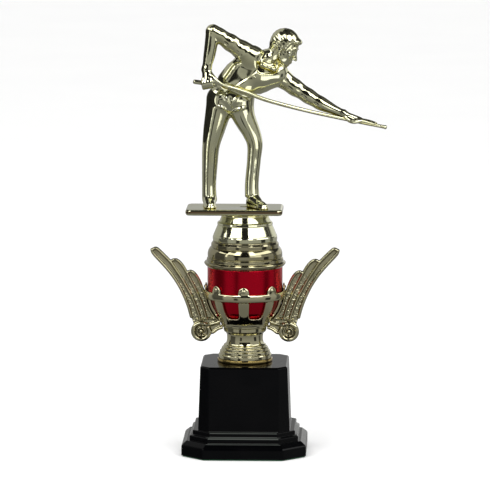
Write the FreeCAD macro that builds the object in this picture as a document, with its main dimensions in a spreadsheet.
"""Pool-player trophy: a weighted black base, a winged gold cup with a red liner, and a figure on top.

Millimetres. The origin is the centre of the base's underside, on the tie rod's axis.
+Z is up, -Y is the front and +X is the viewer's right.
"""
import FreeCAD, Part
import math
import os
import re
import Sketcher
from FreeCAD import Vector

doc = FreeCAD.newDocument("Trophy")

# ---------------------------------------------------------------- driving sizes
SIZES = {
    # tie rod and fasteners (M6)
    "rod_radius": 3.0, "running_gap": 0.05, "loose_gap": 0.4, "part_gap": 0.15,
    "clear_gap": 0.3, "edge_break": 0.3, "rod_chamfer": 0.6,
    "rod_bottom": 9.0, "rod_top": 155.8,
    "nut_across_flats": 10.0, "nut_height": 5.0,
    "washer_radius": 9.0, "washer_height": 1.2,
    # base: octagons are squares with their corners cut at 45 degrees
    "felt_height": 0.8, "felt_inset": 0.8, "cover_height": 2.0,
    "wall_base": 2.3, "wall_gold": 1.7, "wall_liner": 1.2,
    "slab_half": 40.5, "slab_cut": 14.5, "slab_top": 6.8,
    "bevel_half": 37.2, "bevel_cut": 13.1, "bevel_top": 10.3,
    "lower_half": 35.3, "lower_cut": 12.3, "lower_top": 13.3,
    "upper_half": 33.3, "upper_cut": 11.4, "upper_bottom": 14.3, "upper_top": 16.9,
    "block_foot_half": 29.8, "block_foot_cut": 7.1, "block_draft_angle": 2.0, "block_edge": 0.8,
    "block_head_half": 28.3, "block_head_cut": 5.7, "base_top": 59.0,
    "ballast_gap": 1.0, "ballast_height": 37.0,
    # foot ring and stem
    "foot_radius": 18.1, "foot_ring_height": 2.3, "foot_ring_width": 5.0,
    "stem_neck_radius": 11.7, "stem_top": 82.0, "stem_flange_radius": 14.0,
    # cup: cage, liner and wings
    "cage_hub_radius": 15.6, "cage_hub_top": 85.6,
    "cage_ring_radius": 25.8, "cage_ring_bottom": 101.0, "cage_ring_top": 106.0,
    "ring_swell": 0.9, "ring_bevel": 1.3,
    "rib_count": 8, "rib_width": 7.0, "rib_foot_width": 5.6, "window_sill": 3.4, "window_lintel": 1.6,
    "nub_width": 7.4, "nub_depth": 1.9, "nub_height": 4.4, "nub_lift": 0.6,
    "liner_radius": 24.5, "liner_top": 121.5,
    "wing_thickness": 4.4, "wing_gap": 0.3, "peg_radius": 1.3, "peg_reach": 3.0, "peg_height": 103.5,
    "arm_height": 83.8,
    # lid and cap cone
    "lid_rim_radius": 26.6, "lid_top": 138.6, "lid_top_radius": 20.9,
    "cone_top": 156.5, "cone_top_radius": 14.9,
    # figure plate, boss and cue
    "plate_length": 62.8, "plate_depth": 34.0, "plate_height": 3.9, "plate_corner": 3.5,
    "plate_shift": -6.7, "boss_radius": 8.0, "boss_height": 6.4,
    "wall_figure": 1.5, "limb_slimness": 0.97, "seam_depth": 0.0,
    "cue_butt_radius": 1.7, "cue_tip_radius": 1.15,
}

# Centre (x, y, z) and radius of each joint of the figure, and of its shoes.
FIGURE = {
    "pelvis_right": (-14.4, 1.7, 229.4, 10.0), "pelvis_left": (-3.9, 0.3, 229.1, 9.9),
    "waist": (-5.2, 0.4, 239.3, 11.1), "chest": (7.9, 0.2, 248.3, 11.6),
    "shoulder_right": (2.4, -4.2, 260.0, 6.7), "elbow_right": (-19.9, -8.0, 275.3, 4.7),
    "wrist_right": (-24.4, -11.8, 251.4, 3.4), "hand_right": (-23.8, -13.2, 244.2, 3.9),
    "shoulder_left": (23.4, 1.2, 245.6, 6.8), "elbow_left": (44.0, -0.8, 231.4, 5.0),
    "wrist_left": (63.6, -4.0, 221.4, 2.9), "hand_left": (80.0, -4.7, 216.4, 2.2),
    "neck": (16.2, -0.4, 257.6, 5.4), "skull": (25.8, -0.4, 267.0, 9.5), "jaw": (27.2, -0.8, 262.0, 7.6),
    "hip_right": (-18.6, 1.4, 221.0, 7.7), "knee_right": (-22.2, 1.0, 199.0, 5.7),
    "ankle_right": (-23.3, 1.6, 167.0, 4.6),
    "hip_left": (-1.8, 0.0, 219.8, 7.7), "knee_left": (6.3, -1.2, 200.8, 5.3),
    "ankle_left": (4.8, -0.6, 167.4, 5.1),
    "heel_right": (-23.4, 3.4, 163.8, 3.9), "toe_right": (-22.8, -8.4, 163.0, 3.3),
    "heel_left": (4.0, 1.0, 163.8, 4.1), "toe_left": (12.6, -13.2, 163.0, 3.4),
}
LIMBS = (
    ("pelvis_right", "pelvis_left"), ("pelvis_left", "waist"), ("pelvis_right", "waist"),
    ("waist", "chest"), ("chest", "shoulder_right"), ("chest", "shoulder_left"),
    ("shoulder_right", "elbow_right"), ("elbow_right", "wrist_right"), ("wrist_right", "hand_right"),
    ("shoulder_left", "elbow_left"), ("elbow_left", "wrist_left"), ("wrist_left", "hand_left"),
    ("chest", "neck"), ("neck", "jaw"), ("jaw", "skull"),
    ("pelvis_right", "hip_right"), ("hip_right", "knee_right"), ("knee_right", "ankle_right"),
    ("pelvis_left", "hip_left"), ("hip_left", "knee_left"), ("knee_left", "ankle_left"),
    ("ankle_right", "heel_right"), ("heel_right", "toe_right"),
    ("ankle_left", "heel_left"), ("heel_left", "toe_left"),
)
# The cue is a thin moulded rod that bows a little, from its butt to its tip.
CUE = {"butt": (-33.0, -14.2, 243.5), "grip": (-12.0, -13.4, 240.3), "body": (0.6, -12.2, 236.5),
       "middle": (15.2, -9.8, 230.9), "forearm": (39.4, -7.2, 224.3), "bridge": (65.3, -5.4, 218.5),
       "tip": (92.0, -4.4, 213.1)}

sheet = doc.addObject("Spreadsheet::Sheet", "Sizes")
cells = dict(SIZES)
for point, values in FIGURE.items():
    cells.update(zip((f"{point}_x", f"{point}_y", f"{point}_z", f"{point}_radius"), values))
for point, values in CUE.items():
    cells.update(zip((f"cue_{point}_x", f"cue_{point}_y", f"cue_{point}_z"), values))
for row, (alias, value) in enumerate(cells.items(), start=1):
    sheet.set(f"A{row}", alias)
    sheet.set(f"B{row}", str(value))
    sheet.setAlias(f"B{row}", alias)
doc.recompute()


def size(expression):
    """The value of an expression in the sheet's names."""
    return float(sheet.evalExpression(expression))


def bound(expression):
    """The same expression as another object must write it."""
    return re.sub(r"[A-Za-z_]\w*", lambda word: f"Sizes.{word[0]}" if word[0] in cells else word[0],
                  expression)


# ---------------------------------------------------------------- shared features
def new_body(label):
    body = doc.addObject("PartDesign::Body", label)
    body.Label = label
    return body


def origin(body, role):
    return next(item for item in body.Origin.OriginFeatures if item.Role == role)


def new_sketch(body, name, plane, height=None):
    sketch = body.newObject("Sketcher::SketchObject", name)
    sketch.AttachmentSupport = [(origin(body, plane), "")]
    sketch.MapMode = "FlatFace"
    if height is not None:
        sketch.setExpression("AttachmentOffset.Base.z", bound(height))
    return sketch


def polygon(body, name, plane, points, height=None):
    """A closed outline whose corners are pairs of expressions."""
    sketch = new_sketch(body, name, plane, height)
    corners = [Vector(size(across), size(up), 0) for across, up in points]
    for first, second in zip(corners, corners[1:] + corners[:1]):
        sketch.addGeometry(Part.LineSegment(first, second))
    for index, (across, up) in enumerate(points):
        sketch.addConstraint(Sketcher.Constraint("Coincident", index - 1 if index else len(points) - 1, 2,
                                                 index, 1))
        for kind, expression in (("DistanceX", across), ("DistanceY", up)):
            number = sketch.addConstraint(Sketcher.Constraint(kind, -1, 1, index, 1, size(expression)))
            sketch.setExpression(f"Constraints[{number}]", bound(expression))
    return sketch


def circle(body, name, plane, across, up, radius, height=None):
    sketch = new_sketch(body, name, plane, height)
    sketch.addGeometry(Part.Circle(Vector(size(across), size(up), 0), Vector(0, 0, 1), size(radius)))
    for kind, expression in (("DistanceX", across), ("DistanceY", up)):
        number = sketch.addConstraint(Sketcher.Constraint(kind, -1, 1, 0, 3, size(expression)))
        sketch.setExpression(f"Constraints[{number}]", bound(expression))
    number = sketch.addConstraint(Sketcher.Constraint("Radius", 0, size(radius)))
    sketch.setExpression(f"Constraints[{number}]", bound(radius))
    return sketch


def pad(body, name, sketch, length, midplane=False, kind="PartDesign::Pad"):
    feature = body.newObject(kind, name)
    feature.Profile = sketch
    feature.SideType = "Symmetric" if midplane else "One side"
    feature.setExpression("Length", bound(length))
    return feature


def lathe(label, points, kind="PartDesign::Revolution", body=None):
    """A turned piece: its half section, as (radius, height) pairs, goes once round the Z axis."""
    body = body or new_body(label)
    feature = body.newObject(kind, f"{label}_turned")
    feature.Profile = polygon(body, f"{label}_section", "XZ_Plane", points)
    feature.ReferenceAxis = (origin(body, "Z_Axis"), [""])
    feature.Angle = 360
    return body


def octagon(body, name, half, cut, height):
    flat = f"{half} - ({cut})"
    corners = ((half, flat), (flat, half), (f"-({flat})", half), (f"-({half})", flat),
               (f"-({half})", f"-({flat})"), (f"-({flat})", f"-({half})"), (flat, f"-({half})"),
               (half, f"-({flat})"))
    return polygon(body, name, "XY_Plane", corners, height)


def tier(body, name, lower, upper, kind="PartDesign::AdditiveLoft"):
    """One stage of an octagonal piece: lower and upper are (half width, corner cut, height)."""
    feature = body.newObject(kind, name)
    feature.Profile = octagon(body, f"{name}_lower", *lower)
    feature.Sections = [octagon(body, f"{name}_upper", *upper)]
    feature.Ruled = True
    return feature


def faces_between(shape, bottom, top):
    """Names of the faces that reach from one height to another."""
    return [f"Face{number}" for number, face in enumerate(shape.Faces, start=1)
            if abs(face.BoundBox.ZMin - bottom) < 0.01 and abs(face.BoundBox.ZMax - top) < 0.01]


def bore(body, radius, bottom, top):
    """A hole along the rod's axis."""
    sketch = circle(body, f"{body.Label}_bore_sketch", "XY_Plane", "0", "0", radius, bottom)
    hole = body.newObject("PartDesign::Pocket", f"{body.Label}_bore")
    hole.Profile = sketch
    hole.Reversed = True
    hole.setExpression("Length", bound(f"({top}) - ({bottom})"))
    return hole


RUNNING_BORE = "rod_radius + running_gap"
LOOSE_BORE = "rod_radius + loose_gap"


# ---------------------------------------------------------------- base
def felt_pad():
    body = new_body("felt_pad")
    outline = octagon(body, "felt_outline", "slab_half - felt_inset", "slab_cut", "0")
    pad(body, "felt_sheet", outline, "felt_height")


def base_cover():
    body = new_body("base_cover")
    outline = octagon(body, "cover_outline", "slab_half - wall_base - part_gap", "slab_cut - 0.6 * wall_base",
                      "felt_height")
    pad(body, "cover_board", outline, "cover_height")


def base_shell():
    body = new_body("base_shell")
    tiers = (
        ("slab", ("slab_half", "slab_cut", "felt_height"), ("slab_half", "slab_cut", "slab_top")),
        ("bevel", ("slab_half", "slab_cut", "slab_top"), ("bevel_half", "bevel_cut", "bevel_top")),
        ("lower_step", ("lower_half", "lower_cut", "bevel_top"), ("lower_half", "lower_cut", "lower_top")),
        ("cove", ("lower_half", "lower_cut", "lower_top"), ("upper_half", "upper_cut", "upper_bottom")),
        ("upper_step", ("upper_half", "upper_cut", "upper_bottom"), ("upper_half", "upper_cut", "upper_top")),
    )
    for name, lower, upper in tiers:
        tier(body, name, lower, upper)
    outline = octagon(body, "block_outline", "block_foot_half", "block_foot_cut", "upper_top")
    straight = pad(body, "block", outline, "base_top - upper_top")
    doc.recompute()
    ledge, top = size("upper_top"), size("base_top")
    sides = faces_between(straight.Shape, ledge, top)
    draft = body.newObject("PartDesign::Draft", "block_draft")
    draft.Base = (straight, sides)
    draft.NeutralPlane = (straight, faces_between(straight.Shape, ledge, ledge))
    draft.setExpression("Angle", bound("block_draft_angle"))
    doc.recompute()
    edge = body.newObject("PartDesign::Chamfer", "block_top_edge")
    edge.Base = (draft, faces_between(draft.Shape, top, top))
    edge.setExpression("Size", bound("block_edge"))
    tier(body, "slab_hollow",
         ("slab_half - wall_base", "slab_cut - 0.6 * wall_base", "felt_height"),
         ("slab_half - wall_base", "slab_cut - 0.6 * wall_base", "slab_top - 1.6"),
         "PartDesign::SubtractiveLoft")
    tier(body, "block_hollow",
         ("block_foot_half - wall_base + 0.4", "block_foot_cut - 0.5 * wall_base", "slab_top - 1.6"),
         ("block_head_half - wall_base", "block_head_cut - 0.5 * wall_base", "base_top - wall_base"),
         "PartDesign::SubtractiveLoft")
    bore(body, RUNNING_BORE, "base_top - 2 * wall_base", "base_top + 1")


def ballast_block():
    """Cast weight, hung from the shell's roof by the washer and nut below it."""
    body = new_body("ballast_block")
    inner = "block_head_half - wall_base - ballast_gap"
    bottom = "base_top - wall_base - ballast_height"
    outline = octagon(body, "ballast_outline", inner, "block_head_cut", bottom)
    pad(body, "ballast_casting", outline, "ballast_height")
    bore(body, LOOSE_BORE, f"{bottom} - 1", "base_top")


def rod_washer():
    top = "base_top - wall_base - ballast_height"
    lathe("rod_washer", (("rod_radius + clear_gap", f"{top} - washer_height"),
                         ("washer_radius", f"{top} - washer_height"),
                         ("washer_radius", top), ("rod_radius + clear_gap", top)))


def hex_nut(label, top):
    """A plain M6 nut; its thread is left as a running bore."""
    body = new_body(label)
    flat = "nut_across_flats / 2"
    corner = f"{flat} / cos(30)"
    half = f"{flat} * tan(30)"
    corners = ((corner, "0"), (half, flat), (f"-({half})", flat), (f"-({corner})", "0"),
               (f"-({half})", f"-({flat})"), (half, f"-({flat})"))
    outline = polygon(body, f"{label}_outline", "XY_Plane", corners, f"{top} - nut_height")
    pad(body, f"{label}_blank", outline, "nut_height")
    bore(body, RUNNING_BORE, f"{top} - nut_height - 1", f"{top} + 1")


def tie_rod():
    lathe("tie_rod", (("0", "rod_bottom"), ("rod_radius - rod_chamfer", "rod_bottom"),
                      ("rod_radius", "rod_bottom + rod_chamfer"), ("rod_radius", "rod_top - rod_chamfer"),
                      ("rod_radius - rod_chamfer", "rod_top"), ("0", "rod_top")))


# ---------------------------------------------------------------- cup
FOOT_TOP = "base_top + foot_ring_height"


def foot_ring():
    inside, edge = "foot_radius - foot_ring_width", "foot_radius - edge_break"
    lathe("foot_ring", ((inside, "base_top"), (edge, "base_top"), ("foot_radius", "base_top + edge_break"),
                        ("foot_radius", f"{FOOT_TOP} - edge_break"), (edge, FOOT_TOP), (inside, FOOT_TOP)))


def stem():
    """Stepped foot, neck and top flange in one hollow moulding, with a floor round the rod."""
    floor = f"{FOOT_TOP} + wall_gold"
    roof = "stem_top - wall_gold"
    lathe("stem", (
        (RUNNING_BORE, FOOT_TOP), ("foot_radius - 0.7", FOOT_TOP), ("foot_radius - 0.7", f"{FOOT_TOP} + 1.4"),
        ("foot_radius - 1.6", f"{FOOT_TOP} + 1.9"), ("foot_radius - 1.7", f"{FOOT_TOP} + 4.2"),
        ("foot_radius - 3.4", f"{FOOT_TOP} + 5.2"), ("foot_radius - 3.6", f"{FOOT_TOP} + 6.6"),
        ("stem_neck_radius + 1.3", f"{FOOT_TOP} + 7.4"), ("stem_neck_radius + 0.8", f"{FOOT_TOP} + 9.2"),
        ("stem_neck_radius", f"{FOOT_TOP} + 10.8"), ("stem_neck_radius", "stem_top - 5.2"),
        ("stem_neck_radius + 0.9", "stem_top - 3.6"), ("stem_flange_radius", "stem_top - 2.6"),
        ("stem_flange_radius", "stem_top"), (RUNNING_BORE, "stem_top"), (RUNNING_BORE, roof),
        ("stem_neck_radius - wall_gold", roof), ("stem_neck_radius - wall_gold", f"{FOOT_TOP} + 8"),
        ("foot_radius - 3.6 - wall_gold", f"{FOOT_TOP} + 5"), ("foot_radius - 3.6 - wall_gold", floor),
        (RUNNING_BORE, floor)))


# The bowl's outside, from the hub up to the ring; the cage's inside and the liner follow it.
BOWL = (("cage_hub_radius + 1.2", "cage_hub_top + 0.6"), ("cage_hub_radius + 3.2", "cage_hub_top + 3.2"),
        ("cage_ring_radius - 4.4", "cage_ring_bottom - 8.4"),
        ("cage_ring_radius - 2.8", "cage_ring_bottom - 5"),
        ("cage_ring_radius - 1.4", "cage_ring_bottom - 0.6"))


def cup_cage():
    """Hub, ring and eight ribs, each rib topped by a rounded nub."""
    inside = [(f"{radius} - wall_gold", up) for radius, up in reversed(BOWL)]
    inner_ring = "liner_radius + part_gap"
    body = lathe("cup_cage", (
        (RUNNING_BORE, "stem_top"), ("cage_hub_radius - 0.4", "stem_top"),
        ("cage_hub_radius", "stem_top + 0.8"), ("cage_hub_radius", "cage_hub_top"), *BOWL,
        ("cage_ring_radius", "cage_ring_bottom"),
        ("cage_ring_radius + ring_swell", "cage_ring_bottom + ring_bevel"),
        ("cage_ring_radius + ring_swell", "cage_ring_top - ring_bevel"),
        ("cage_ring_radius", "cage_ring_top"), (inner_ring, "cage_ring_top"),
        (inner_ring, "cage_ring_bottom"), *inside,
        ("cage_hub_radius - wall_gold", "cage_hub_top - 0.3"), (RUNNING_BORE, "cage_hub_top - 0.3")))
    pitch = "360 / rib_count / 2"
    foot = f"(cage_hub_radius + 1.6) * sin({pitch}) - rib_foot_width / 2"
    head = f"cage_ring_radius * sin({pitch}) - rib_width / 2"
    sill = "cage_hub_top + window_sill"
    lintel, top = "cage_ring_bottom - window_lintel", "cage_ring_bottom - 0.1"
    window = ((foot, sill), (head, lintel), (head, top),
              (f"-({head})", top), (f"-({head})", lintel), (f"-({foot})", sill))
    sketch = polygon(body, "window_outline", "XZ_Plane", window)
    sketch.AttachmentOffset = FreeCAD.Placement(Vector(), FreeCAD.Rotation(Vector(0, 1, 0), size(pitch)))
    opening = pad(body, "window", sketch, "cage_ring_radius + 4", kind="PartDesign::Pocket")
    windows = body.newObject("PartDesign::PolarPattern", "windows")
    windows.Originals = [opening]
    windows.Axis = (origin(body, "Z_Axis"), [""])
    windows.Angle = 360
    windows.setExpression("Occurrences", bound("rib_count"))
    body.Tip = windows
    nub = body.newObject("PartDesign::AdditiveEllipsoid", "nub")
    nub.setExpression("Radius1", bound("nub_height"))
    nub.setExpression("Radius2", bound("nub_depth / 2"))
    nub.setExpression("Radius3", bound("nub_width / 2"))
    nub.AttachmentSupport = [(origin(body, "XY_Plane"), "")]
    nub.MapMode = "FlatFace"
    nub.setExpression("AttachmentOffset.Base.x", bound("liner_radius + part_gap + nub_depth / 2"))
    nub.setExpression("AttachmentOffset.Base.z", bound("cage_ring_top + nub_lift"))
    nubs = body.newObject("PartDesign::PolarPattern", "nubs")
    nubs.Originals = [nub]
    nubs.Axis = (origin(body, "Z_Axis"), [""])
    nubs.Angle = 360
    nubs.setExpression("Occurrences", bound("rib_count"))
    body.Tip = nubs
    sketch = circle(body, "peg_hole_sketch", "YZ_Plane", "0", "peg_height", "peg_radius + running_gap")
    body.Tip = pad(body, "peg_hole", sketch, "2 * (cage_ring_radius + peg_reach) + 2", midplane=True,
                   kind="PartDesign::Pocket")


def red_liner():
    """Metallised cup inside the cage: a straight wall, then a taper down to a floor round the rod."""
    step = "wall_gold + part_gap + 0.1"
    outside = [(f"{radius} - ({step})", up) for radius, up in BOWL]
    inside = [(f"{radius} - ({step}) - wall_liner", up) for radius, up in reversed(BOWL)]
    floor = "cage_hub_top + 0.2"
    lathe("red_liner", (
        ("rod_radius + clear_gap", floor), ("cage_hub_radius - 1.4", floor), *outside,
        ("liner_radius", "cage_ring_bottom + 1"), ("liner_radius", "liner_top"),
        ("liner_radius - wall_liner", "liner_top"), ("liner_radius - wall_liner", "cage_ring_bottom + 1"),
        *inside, ("cage_hub_radius - 2.6", f"{floor} + wall_liner"),
        ("rod_radius + clear_gap", f"{floor} + wall_liner")))


# ---------------------------------------------------------------- wings
def spline(points):
    curve = Part.BSplineCurve()
    curve.interpolate([Vector(across, up, 0) for across, up in points])
    return curve


def left_wing():
    """Three upswept feathers over a scroll and an arm; the inner side follows the cage's bowl."""
    body = new_body("left_wing")
    sketch = new_sketch(body, "wing_outline", "XZ_Plane")
    ring = size("cage_ring_radius + ring_swell + wing_gap")
    hub = size("cage_hub_radius + wing_gap")
    arm = size("arm_height")
    tip_long, tip_middle, tip_short = (-57.6, 132.6), (-47.0, 125.2), (-36.0, 117.6)
    outer = [tip_long, (-60.0, 129.4), (-53.6, 121.8), (-46.6, 112.6), (-40.4, 101.6), (-36.2, 89.6),
             (-35.0, 80.0), (-33.2, 73.6), (-28.4, 71.4), (-23.4, 73.0), (-20.4, 77.4), (-hub, arm - 1.8)]
    bowl = [(-hub, arm - 1.8), (-hub, size("cage_hub_top"))]
    bowl += [(-size(f"{radius} + wing_gap"), size(up)) for radius, up in BOWL[:-1]]
    bowl += [(-ring, size("cage_ring_bottom - window_lintel")), (-ring, size("cage_ring_top + nub_height"))]
    short_edge = [bowl[-1], (-30.2, 113.0), (-32.6, 116.4), tip_short]
    middle_edge = [tip_short, (-38.6, 118.6), (-42.6, 123.6), tip_middle]
    long_edge = [tip_middle, (-49.4, 126.2), (-54.6, 131.2), tip_long]
    curves = [spline(outer)]
    curves += [Part.LineSegment(Vector(*start, 0), Vector(*end, 0)) for start, end in zip(bowl, bowl[1:])]
    curves += [spline(short_edge), spline(middle_edge), spline(long_edge)]
    for curve in curves:
        sketch.addGeometry(curve)
    for index in range(len(curves)):
        sketch.addConstraint(Sketcher.Constraint("Coincident", index, 2, (index + 1) % len(curves), 1))
    pad(body, "wing_plate", sketch, "wing_thickness", midplane=True)
    peg_sketch = circle(body, "peg_sketch", "YZ_Plane", "0", "peg_height", "peg_radius",
                        "-(cage_ring_radius + peg_reach)")
    pad(body, "peg", peg_sketch, "peg_reach + cage_ring_radius - liner_radius - clear_gap")
    return body


def right_wing(left):
    mirrored = doc.addObject("Part::Mirroring", "right_wing")
    mirrored.Label = "right_wing"
    mirrored.Source = left
    mirrored.Normal = Vector(1, 0, 0)


# ---------------------------------------------------------------- lid and cap cone
def lid():
    """Stepped dome with a spigot that centres it in the liner."""
    spigot = "liner_radius - wall_liner - part_gap"
    rim = "liner_top"
    wall = "wall_gold"
    lathe("lid", (
        (f"{spigot} - {wall}", f"{rim} - 3"), (spigot, f"{rim} - 3"), (spigot, rim),
        ("liner_radius + 0.5", rim),
        ("lid_rim_radius - 0.5", f"{rim} + 1.4"), ("lid_rim_radius", f"{rim} + 2.2"),
        ("lid_rim_radius", f"{rim} + 3.2"), ("lid_rim_radius - 1.7", f"{rim} + 4.2"),
        ("lid_rim_radius - 1.8", f"{rim} + 5.6"), ("lid_rim_radius - 2.5", f"{rim} + 6.1"),
        ("lid_rim_radius - 2.3", f"{rim} + 6.7"), ("lid_rim_radius - 2.9", f"{rim} + 11.4"),
        ("lid_rim_radius - 3.7", f"{rim} + 12.8"), ("lid_top_radius + 0.9", f"{rim} + 13.2"),
        ("lid_top_radius + 0.7", f"{rim} + 15.6"), ("lid_top_radius", f"{rim} + 16.2"),
        ("lid_top_radius", "lid_top"), (RUNNING_BORE, "lid_top"), (RUNNING_BORE, f"lid_top - {wall}"),
        (f"lid_top_radius - {wall}", f"lid_top - {wall}"), (f"{spigot} - {wall}", f"{rim} + 5")))


def cap_cone():
    wall = "wall_gold"
    opening = "boss_radius + loose_gap"
    lathe("cap_cone", (
        (f"lid_top_radius - {wall}", "lid_top"), ("lid_top_radius - 0.2", "lid_top"),
        ("lid_top_radius - 0.3", "lid_top + 3.6"), ("lid_top_radius - 0.9", "lid_top + 4.6"),
        ("lid_top_radius - 1.3", "lid_top + 5.4"), ("cone_top_radius + 3.1", "lid_top + 8"),
        ("cone_top_radius + 2.1", "lid_top + 9.6"), ("cone_top_radius + 1.0", "cone_top - 3.8"),
        ("cone_top_radius + 0.6", "cone_top - 2.4"), ("cone_top_radius", "cone_top - 0.8"),
        ("cone_top_radius", "cone_top"), (opening, "cone_top"), (opening, f"cone_top - {wall}"),
        (f"cone_top_radius - {wall}", f"cone_top - {wall}"), (f"lid_top_radius - {wall}", "lid_top + 4")))


# ---------------------------------------------------------------- figure
def figure_plate():
    """Plate under the figure's shoes, with a boss below it that holds the captive nut."""
    body = new_body("figure_plate")
    end = "plate_length / 2"
    side = "plate_depth / 2"
    corners = ((f"plate_shift + {end}", side), (f"plate_shift - {end}", side),
               (f"plate_shift - {end}", f"-({side})"), (f"plate_shift + {end}", f"-({side})"))
    slab = pad(body, "plate_slab", polygon(body, "plate_outline", "XY_Plane", corners, "cone_top"),
               "plate_height")
    doc.recompute()
    upright = [f"Edge{number}" for number, edge in enumerate(slab.Shape.Edges, start=1)
               if abs(edge.tangentAt(edge.FirstParameter).z) > 0.99]
    rounding = body.newObject("PartDesign::Fillet", "plate_corners")
    rounding.Base = (slab, upright)
    rounding.setExpression("Radius", bound("plate_corner"))
    boss = circle(body, "boss_outline", "XY_Plane", "0", "0", "boss_radius", "cone_top - boss_height")
    pad(body, "boss", boss, "boss_height + 0.5 * plate_height")
    flat = "nut_across_flats / 2 + 0.1"
    corner = f"({flat}) / cos(30)"
    half = f"({flat}) * tan(30)"
    hexagon = ((corner, "0"), (half, flat), (f"-({half})", flat), (f"-({corner})", "0"),
               (f"-({half})", f"-({flat})"), (half, f"-({flat})"))
    outline = polygon(body, "nut_pocket_outline", "XY_Plane", hexagon, "cone_top - boss_height - 1")
    pocket = pad(body, "nut_pocket", outline, "boss_height + 1 - 0.6", kind="PartDesign::Pocket")
    pocket.Reversed = True
    bore(body, LOOSE_BORE, "cone_top - boss_height", "cone_top + 0.5")


def place(point):
    return Vector(size(f"{point}_x"), size(f"{point}_y"), size(f"{point}_z"))


def limb(first, second, shrink=0.0):
    """A tapered stretch between two joints of the figure, a little thinner than their balls."""
    start, end = place(first), place(second)
    slim = size("limb_slimness")
    start_radius = slim * (size(f"{first}_radius") - shrink)
    end_radius = slim * (size(f"{second}_radius") - shrink)
    return Part.makeCone(start_radius, end_radius, (end - start).Length, start, end - start)


def manikin(shrink=0.0):
    """Every joint's ball and every limb, as one solid; shrink makes it the hollow inside."""
    balls = [Part.makeSphere(size(f"{point}_radius") - shrink, place(point)) for point in FIGURE]
    return balls[0].multiFuse(balls[1:] + [limb(*pair, shrink) for pair in LIMBS])


def cue_solid(clearance=0.0):
    """The cue: rings along its curve, tapering from butt to tip."""
    curve = Part.BSplineCurve()
    curve.interpolate([place(f"cue_{point}") for point in CUE])
    rings = []
    for point in CUE:
        along = curve.parameter(place(f"cue_{point}"))
        share = (along - curve.FirstParameter) / (curve.LastParameter - curve.FirstParameter)
        radius = size("cue_butt_radius") * (1 - share) + size("cue_tip_radius") * share + clearance
        ring = Part.Circle(place(f"cue_{point}"), curve.tangent(along)[0], radius)
        rings.append(Part.Wire([ring.toShape()]))
    return Part.makeLoft(rings, True)


def shell_feature(label, shape):
    feature = doc.addObject("Part::Feature", label)
    feature.Label = label
    feature.Shape = shape
    return feature


def figure():
    """The player is two hollow mouldings that meet on an upright plane, and holds a separate cue."""
    thickness = size("wall_figure")
    outer = manikin()
    inner = manikin(thickness)
    floor = size("cone_top + plate_height")
    seam = size("seam_depth")
    reach = 200.0
    below = Part.makeBox(2 * reach, 2 * reach, reach, Vector(-reach, -reach, floor - reach))
    below_inner = Part.makeBox(2 * reach, 2 * reach, reach, Vector(-reach, -reach, floor + thickness - reach))
    skin = outer.cut(below).cut(inner.cut(below_inner)).cut(cue_solid(size("running_gap")))
    front = Part.makeBox(2 * reach, reach, 2 * reach, Vector(-reach, seam - reach, 0))
    rear = Part.makeBox(2 * reach, reach, 2 * reach, Vector(-reach, seam, 0))
    for label, side in (("figure_front", front), ("figure_rear", rear)):
        half = skin.common(side)
        shell_feature(label, max(half.Solids, key=lambda solid: solid.Volume))
    shell_feature("cue", cue_solid())


# ---------------------------------------------------------------- assembly
felt_pad()
base_cover()
base_shell()
ballast_block()
rod_washer()
hex_nut("rod_nut", "base_top - wall_base - ballast_height - washer_height")
tie_rod()
foot_ring()
stem()
cup_cage()
red_liner()
right_wing(left_wing())
lid()
cap_cone()
figure_plate()
hex_nut("figure_nut", "cone_top - 0.7")
doc.recompute()
figure()
doc.recompute()

NODES = ("felt_pad", "base_cover", "base_shell", "ballast_block", "rod_washer", "rod_nut", "tie_rod",
         "foot_ring", "stem", "cup_cage", "red_liner", "left_wing", "right_wing", "lid", "cap_cone",
         "figure_plate", "figure_nut", "figure_front", "figure_rear", "cue")

for item in doc.Objects:
    if {"Invalid", "Error"} & set(item.State):
        raise RuntimeError(f"{item.Label} did not compute")
os.makedirs("parts", exist_ok=True)
for label in NODES:
    shape = doc.getObjectsByLabel(label)[0].Shape
    if shape.isNull() or not shape.isValid():
        raise RuntimeError(f"{label} is not a valid shape")
    shape.exportStep(f"parts/{label}.step")
